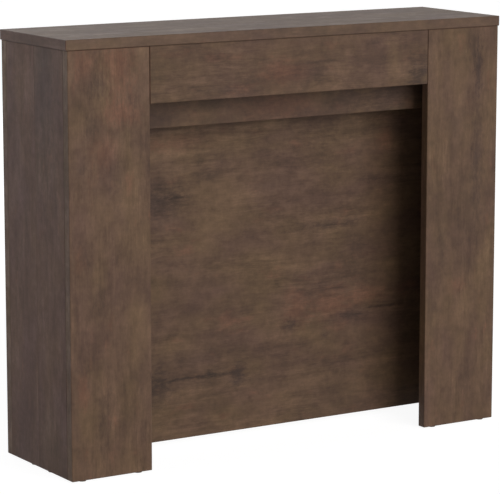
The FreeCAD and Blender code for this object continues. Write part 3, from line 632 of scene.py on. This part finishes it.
# Pan-head screws: domed head with a cross, and a thread rolled round the shank, through the slide brackets.
# Sizes in mm; those up to webLength long hold the slide's web, and longer ones bite in wood.
panScrew = {
    "headRadius": 3.5,
    "headHeight": 2.2,
    "shoulder": 1.1,                 # height of the head's straight side
    "headChamfer": 0.15,
    "headRows": 14,
    "middleShare": 0.2,              # of the head's radius, at the row next to the pole
    "headShare": 0.8,                # corners past this share of the widest belong to the head
    "shankRadius": 1.75,
    "ridge": 0.45,                   # height of the thread
    "ridgeSharpness": 1.5,           # the higher, the narrower its ridge
    "pitch": 1.6,
    "rowsPerPitch": 6,
    "tipLength": 4.0,
    "tipShare": 0.08,                # of the shank's radius, left at the point
    "webLength": 10,
    "steps": 24,
    "crossReach": 1.9,
    "crossWidth": 0.5,
    "crossDepth": 1.4,
}


def screwProfile(length):
    # the dome falls with the fourth power of the radius; the thread is a ridge that climbs once each turn
    s = panScrew
    head, thick, chamfer = s["headRadius"], s["shankRadius"], s["headChamfer"]
    out = np.linspace(s["middleShare"], 1, s["headRows"])
    dome = s["shoulder"] + (s["headHeight"] - s["shoulder"]) * np.sqrt(1 - out ** 4)
    neck = [head, head - chamfer]
    down = np.linspace(0, length, int(length / s["pitch"] * s["rowsPerPitch"]))
    taper = np.clip((length - down) / min(s["tipLength"], length / 2), s["tipShare"], 1)
    radius = np.concatenate([out * head, neck, thick * taper])[:, None]
    height = np.concatenate([dome, [chamfer, 0], -down])[:, None]
    row = np.arange(len(radius))[:, None]
    wave = np.abs((height / s["pitch"] + np.arange(s["steps"]) / s["steps"]) % 1 * 2 - 1)
    thread = s["ridge"] * np.clip(s["ridgeSharpness"] * (1 - wave), 0, 1) * np.minimum(radius / thick, 1)
    radius = radius - (row >= len(out) + len(neck)) * thread
    return radius, height - s["headHeight"] - crossRecess(radius, s) * (row < len(out))


def screwSide(solid, axis):
    # a screw's head is where its corners stand widest from the axis
    away = solid - (solid.min(axis=0) + solid.max(axis=0)) / 2
    spread = np.linalg.norm(np.delete(away, axis, axis=1), axis=1)
    return np.sign(away[spread > panScrew["headShare"] * spread.max(), axis].mean())


for half in ("front", "rear"):
    seats = seatsOf(half + "_screws", screwSide)
    lengths = (seats[:, lengthColumn] / mm - panScrew["headHeight"]).round(1)
    for length in np.unique(lengths):
        name = half + ("WoodScrews" if length > panScrew["webLength"] else "WebScrews")
        screws = turnedPiece(name, *screwProfile(length), seats[lengths == length])
        dress(screws, half + "_half", half + "_screws", "bright_steel")


# Locating pins: beech dowels with rolled flutes and chamfered ends, along the seam of the two half tops
locatingPin = {"radius": 4.0, "chamfer": 1.2, "chamferShare": 0.6, "flutes": 24, "fluteDepth": 0.3,
               "steps": 96}


def pinProfile(length):
    # flutes are rounded ridges: the radius dips by a squared cosine that repeats once a flute
    s = locatingPin
    c, r = s["chamfer"], s["radius"]
    end = r - s["chamferShare"] * c
    down = np.array([0, c, 2 * c, length - 2 * c, length - c, length])
    out = np.array([end, r, r, r, r, end])
    fluted = np.array([0, 0, 1, 1, 0, 0])[:, None]
    dip = s["fluteDepth"] * np.cos(np.arange(s["steps"]) * np.pi * s["flutes"] / s["steps"]) ** 2
    return out[:, None] - fluted * dip, np.repeat(-down[:, None], s["steps"], axis=1)


def pinSide(solid, axis):
    return 1  # both ends are alike


pinSeats = seatsOf("top_pins", pinSide)
pins = turnedPiece("locatingPins", *pinProfile(pinSeats[0, lengthColumn] / mm), pinSeats)
dress(pins, "front_half", "top_pins", "beech_dowel")
print("fasteners turned")


def seenRays(tree):
    # one for rays that show the backdrop itself: from the camera, or by way of gloss or glass
    rays = addNode(tree, "ShaderNodeLightPath")
    seen = addNode(tree, "ShaderNodeMath", {}, {
        0: rays.outputs["Is Camera Ray"], 1: rays.outputs["Is Glossy Ray"]}, operation="MAXIMUM")
    return addNode(tree, "ShaderNodeMath", {}, {
        0: seen.outputs[0], 1: rays.outputs["Is Transmission Ray"]}, operation="MAXIMUM").outputs[0]


# Floor: pale and plain; to the camera and in reflections it glows to white and keeps a faint shadow by the
# table. It is clear from below, so that the underside can be looked at. Sizes in m.
floorSettings = {"halfSize": 30.0, "colour": "#d0d0d0", "shade": "#7c7c7c", "glow": (0.93, 1.0),
                 "glowReach": (1.0, 4.0)}


def makeFloor():
    s = floorSettings
    e = s["halfSize"]
    mesh = bpy.data.meshes.new("studioFloor")
    mesh.from_pydata([(-e, -e, 0), (e, -e, 0), (e, e, 0), (-e, e, 0)], [], [(0, 1, 2, 3)])
    floor = bpy.data.objects.new("studioFloor", mesh)
    bpy.context.scene.collection.objects.link(floor)
    material, tree = newMaterial("paleFloor")
    place = addNode(tree, "ShaderNodeTexCoord")
    away = addNode(tree, "ShaderNodeVectorMath", {}, {0: place.outputs["Object"]}, operation="LENGTH")
    glow = addNode(tree, "ShaderNodeMapRange", fromTo(s["glowReach"], s["glow"]), {0: away.outputs["Value"]})
    white = addNode(tree, "ShaderNodeEmission", {}, {"Strength": glow.outputs[0]})
    shade = addNode(tree, "ShaderNodeBsdfDiffuse", {"Color": hexToLinear(s["shade"])})
    shown = addNode(tree, "ShaderNodeAddShader", {}, {0: white.outputs[0], 1: shade.outputs[0]})
    matt = addNode(tree, "ShaderNodeBsdfDiffuse", {"Color": hexToLinear(s["colour"])})
    mixed = addNode(tree, "ShaderNodeMixShader", {}, {
        0: seenRays(tree), 1: matt.outputs[0], 2: shown.outputs[0]})
    face = addNode(tree, "ShaderNodeNewGeometry")
    clear = addNode(tree, "ShaderNodeBsdfTransparent")
    oneWay = addNode(tree, "ShaderNodeMixShader", {}, {
        0: face.outputs["Backfacing"], 1: mixed.outputs[0], 2: clear.outputs[0]})
    addNode(tree, "ShaderNodeOutputMaterial", {}, {"Surface": oneWay.outputs[0]})
    mesh.materials.append(material)


makeFloor()


# World: white where it is seen or mirrored, a low soft fill where it lights
worldSettings = {"fill": 0.04}


def makeWorld():
    world = bpy.data.worlds.new("studioWorld")
    world.use_nodes = True
    tree = world.node_tree
    tree.nodes.clear()
    fill = addNode(tree, "ShaderNodeBackground", {"Color": [1, 1, 1, 1], "Strength": worldSettings["fill"]})
    white = addNode(tree, "ShaderNodeBackground", {"Color": [1, 1, 1, 1], "Strength": 1.0})
    mixed = addNode(tree, "ShaderNodeMixShader", {}, {
        0: seenRays(tree), 1: fill.outputs[0], 2: white.outputs[0]})
    addNode(tree, "ShaderNodeOutputWorld", {}, {"Surface": mixed.outputs[0]})
    bpy.context.scene.world = world


makeWorld()

# Lamps: each a square soft box that faces a point this high above the origin; bearing is degrees from
# the front towards the right, height degrees above the point, distance and size m, power W
aimHeight = 0.42
lamps = {
    "keyLamp": {"bearing": 8, "height": 18.5, "distance": 8.0, "size": 6.4, "power": 594},
    "fillLamp": {"bearing": -33, "height": 12, "distance": 6.5, "size": 3.0, "power": 23},
    "leftLamp": {"bearing": -102, "height": 6, "distance": 4.5, "size": 3.0, "power": 27},
    "rightLamp": {"bearing": 100, "height": 6, "distance": 4.5, "size": 3.0, "power": 60},
    "rearLamp": {"bearing": 180, "height": 7, "distance": 5.0, "size": 3.0, "power": 138},
}


def makeLamp(name, s):
    light = bpy.data.lights.new(name, "AREA")
    light.energy = s["power"]
    light.size = s["size"]
    lamp = bpy.data.objects.new(name, light)
    bearing, height = math.radians(s["bearing"]), math.radians(s["height"])
    lamp.location = [s["distance"] * math.cos(height) * math.sin(bearing),
                     -s["distance"] * math.cos(height) * math.cos(bearing),
                     aimHeight + s["distance"] * math.sin(height)]
    lamp.rotation_euler = [math.pi / 2 - height, 0, bearing]
    bpy.context.scene.collection.objects.link(lamp)


for lampName, lampSettings in lamps.items():
    makeLamp(lampName, lampSettings)


# Camera: a long lens at the photograph's viewing angle, from the front left and above; place in m,
# bearing and tilt in degrees, lens and sensor in mm
cameraSettings = {"place": (-2.505, -3.977, 1.169), "bearing": 32.06, "tilt": 9.88, "lens": 189.9,
                  "sensor": 36}


def makeCamera():
    s = cameraSettings
    camera = bpy.data.objects.new("camera", bpy.data.cameras.new("camera"))
    camera.location = s["place"]
    camera.rotation_euler = [math.radians(90 - s["tilt"]), 0, math.radians(-s["bearing"])]
    camera.data.lens = s["lens"]
    camera.data.sensor_width = s["sensor"]
    bpy.context.scene.collection.objects.link(camera)
    bpy.context.scene.camera = camera


makeCamera()
bpy.context.scene.view_settings.view_transform = "Standard"
print("floor, world, lamps and camera set")
